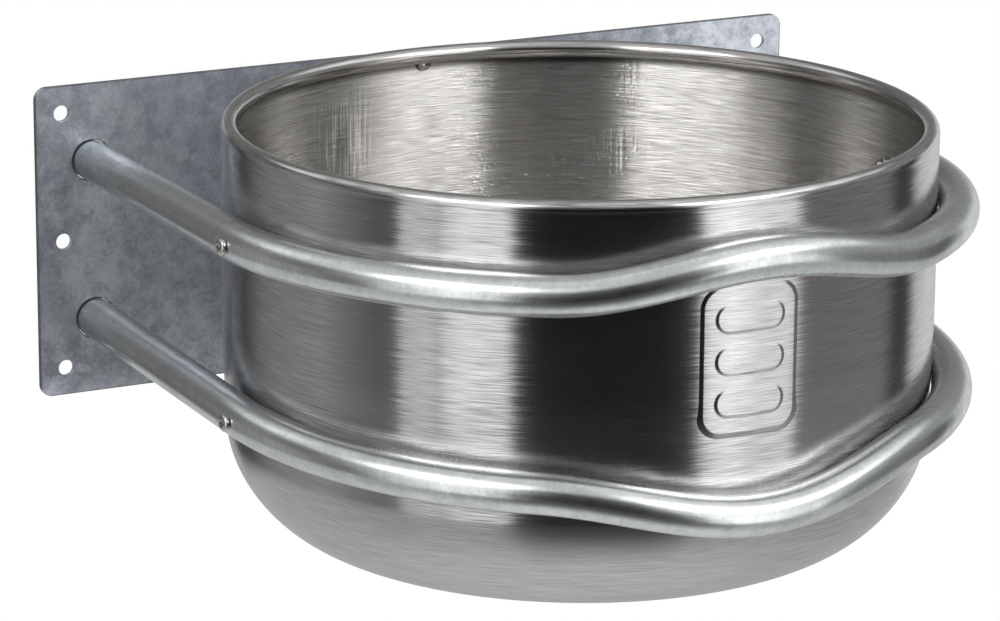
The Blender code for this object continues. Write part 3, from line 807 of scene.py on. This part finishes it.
def make_world():
    """A soft studio. Each table gives the light's strength by direction round the object, in degrees: 0 is
    the direction of the camera as seen from the object. The tables belong to heights in the room: two pale
    boxes and a dark gap between them at eye level, the same a little higher, strong strips above them, a
    soft ceiling, and a paler floor. The camera itself sees plain white."""
    world = bpy.data.worlds.new("studio")
    world.use_nodes = True
    bpy.context.scene.world = world
    g = Nodes(world.node_tree)
    background = world.node_tree.nodes["Background"]
    output = world.node_tree.nodes["World Output"]
    ray = g.new("TexCoord").outputs["Generated"]
    ahead = g.vector("DOT_PRODUCT", ray, (-math.sin(YAW), -math.cos(YAW), 0.0))
    beside = g.vector("DOT_PRODUCT", ray, (math.cos(YAW), -math.sin(YAW), 0.0))
    turn = g.math("ADD", g.math("DIVIDE", g.math("ARCTAN2", beside, ahead), math.tau), 0.5)
    rise = g.math("DIVIDE", g.math("ARCSINE", g.split(ray)[2]), math.radians(1.0))
    white = (1.0, 1.0, 1.0, 1.0)

    def table(stops, peak):
        """Strength by direction. The stops are scaled to a ramp's range of 0 to 1 and back."""
        return g.math("MULTIPLY", g.ramp(turn, [((a + 180.0) / 360.0, v / peak) for a, v in stops]), peak)

    level = table(
        [(-180, 0.45), (-156, 0.4), (-148, 0.09), (-134, 0.07), (-121, 0.2), (-112, 0.24), (-90, 0.29),
         (-80, 0.19), (-68, 0.09), (-60.5, 0.08), (-57.5, 0.68), (-47.5, 0.72), (-45.5, 0.45), (-43.5, 0.85),
         (-38, 1.1), (-23.5, 1.05), (-19.5, 0.06), (-15, 0.005), (33, 0.005), (36.5, 0.05), (40.5, 1.2),
         (48, 1.45), (58, 1.05), (70, 1.05), (74.5, 0.14), (105, 0.19), (113, 0.19), (121, 0.05), (129, 0.05),
         (137, 0.62), (150, 0.72), (180, 0.45)], 2.0)
    high = table(
        [(-180, 0.2), (-125, 0.15), (-112, 0.15), (-104, 0.25), (-92, 0.14), (-81, 0.1), (-71, 0.18),
         (-61.5, 0.35), (-55, 0.55), (-48, 1.0), (-27, 1.15), (-22, 1.0), (-15, 0.15), (-10, 0.03),
         (5, 0.015), (24, 0.02), (29, 0.08), (33, 0.5), (38, 1.0), (46, 1.15), (62, 1.05), (67, 0.6),
         (74, 0.4), (84, 0.3), (95, 0.22), (119, 0.3), (140, 0.25), (180, 0.2)], 2.0)
    strip = table(
        [(-180, 0.15), (-150, 0.2), (-130, 0.6), (-115, 1.0), (-95, 0.5), (-66, 0.7), (-60, 4.2), (-22, 4.2),
         (-15, 0.7), (-10, 0.5), (8, 0.45), (14, 0.45), (32, 0.5), (39, 4.2), (72, 4.2), (82, 1.2),
         (120, 1.0), (150, 0.25), (180, 0.15)], 12.0)
    top = table(
        [(-180, 0.4), (-150, 0.4), (-110, 0.55), (-70, 0.6), (-55, 0.75), (-25, 0.75), (-10, 0.5), (25, 0.5),
         (42, 0.8), (85, 0.8), (120, 0.65), (150, 0.4), (180, 0.4)], 2.0)
    low = table(
        [(-180, 0.5), (-110, 0.47), (-75, 0.42), (-50, 0.4), (-30, 0.35), (-21, 0.12), (-12, 0.065),
         (26, 0.065), (36, 0.12), (48, 0.35), (75, 0.42), (110, 0.42), (180, 0.5)], 1.0)
    straight_down = 0.62

    def blend(before, after, start, full):
        """Goes over from one table to the next between these two elevations, in degrees."""
        share = g.span(rise, start, full)
        kept = g.math("MULTIPLY", before, g.math("SUBTRACT", 1.0, share))
        return g.math("ADD", kept, g.math("MULTIPLY", after, share))

    value = blend(level, high, 3.0, 11.0)
    value = blend(value, strip, 28.0, 34.0)
    value = blend(value, top, 44.0, 51.0)
    value = blend(value, low, -19.0, -27.0)
    value = blend(value, straight_down, -34.0, -76.0)
    background.inputs["Color"].default_value = white
    g.feed(background.inputs["Strength"], value)
    plain = g.new("Background")
    plain.inputs["Strength"].default_value = 1.0
    plain.inputs["Color"].default_value = white
    choose = g.new("MixShader")
    g.feed(choose.inputs[0], g.new("LightPath").outputs["Is Camera Ray"])
    g.feed(choose.inputs[1], background.outputs[0])
    g.feed(choose.inputs[2], plain.outputs[0])
    g.feed(output.inputs["Surface"], choose.outputs[0])


def make_floor():
    """A pale disc under the object that fades out before its edge. It doesn't show in reflections."""
    fade_start, fade_end = 0.35, 0.88
    middle = (*FLOOR_MIDDLE, FLOOR_Z)
    profile = [(0.02, FLOOR_Z), (0.3, FLOOR_Z), (0.6, FLOOR_Z), (0.85, FLOOR_Z), (0.9, FLOOR_Z - 0.002)]
    floor = skin("pale_floor", turned(profile, 96, FLOOR_MIDDLE), start=middle)
    for face in floor.data.polygons:
        face.use_smooth = True
    floor.data.flip_normals()
    made, g, shader = new_material("pale_floor_paint", 0.0)
    place = g.new("TexCoord").outputs["Object"]
    colour = g.mix(g.noise(place, 40.0, 3.0), (0.86, 0.86, 0.855), (0.90, 0.90, 0.895))
    g.feed(shader.inputs["Base Color"], colour)
    shader.inputs["Roughness"].default_value = 0.8
    away = g.vector("LENGTH", g.vector("SUBTRACT", place, middle))
    g.feed(shader.inputs["Alpha"], g.span(away, fade_end, fade_start))
    floor.data.materials.append(made)
    floor.visible_glossy = False
    bpy.context.scene.collection.objects.link(floor)


# ---------------------------------------------------------------- assembly

make_camera()
make_world()
make_floor()
bpy.context.scene.view_settings.view_transform = "Standard"

steel = steel_material("brushed_stainless", False)
steel_inside = steel_material("scratched_stainless", True)
zinc_sheet = zinc_material("galvanised_sheet", True)
zinc_tube = zinc_material("galvanised_tube", False)
turned_steel = fastener_material()
weld = weld_material()

make_bowl(steel, steel_inside)
make_pad(steel)
make_plate(zinc_sheet)
for level in LEVELS:
    make_hoop(level, zinc_tube)
    bolt_height = centre(level + "_left_washer").z
    head_distance = HOOP_RADIUS[level] + TUBE_RADIUS + GAP
    washer_distance = BOWL_RADIUS - SHEET - WALL_DROP[level] - WASHER_CLEARANCE
    nut_distance = washer_distance - WASHER_THICKNESS - GAP
    screw_length = head_distance - nut_distance + SCREW_PAST_NUT_FACE
    base = Vector((0.0, BOWL_AXIS_Y, bolt_height))
    for side, sign in SIDES.items():
        label = level + "_" + side
        out = Vector((sign * math.cos(BOLT_TURN), -math.sin(BOLT_TURN), 0.0))
        head_place = aim(base + head_distance * out, out)
        washer_place = aim(base + washer_distance * out, -out)
        nut_place = aim(base + nut_distance * out, -out)
        make_screw(label + "_button_screw", screw_length, head_place, turned_steel, [label + "_bolt"])
        make_washer(label + "_plain_washer", washer_place, turned_steel, [label + "_washer"])
        make_cap_nut(label + "_dome_nut", nut_place, turned_steel, [label + "_cap_nut"])
        make_weld(label + "_weld", len(label) + int(sign) + ord(level[0]), weld)
back_low, back_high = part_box("back_screw")
back_mid = centre("back_screw")
back_place = aim((back_mid.x, back_low.y + HEAD_HEIGHT, back_mid.z), (0.0, -1.0, 0.0))
back_length = back_high.y - back_low.y - HEAD_HEIGHT
make_screw("back_button_screw", back_length, back_place, turned_steel, ["back_screw"])
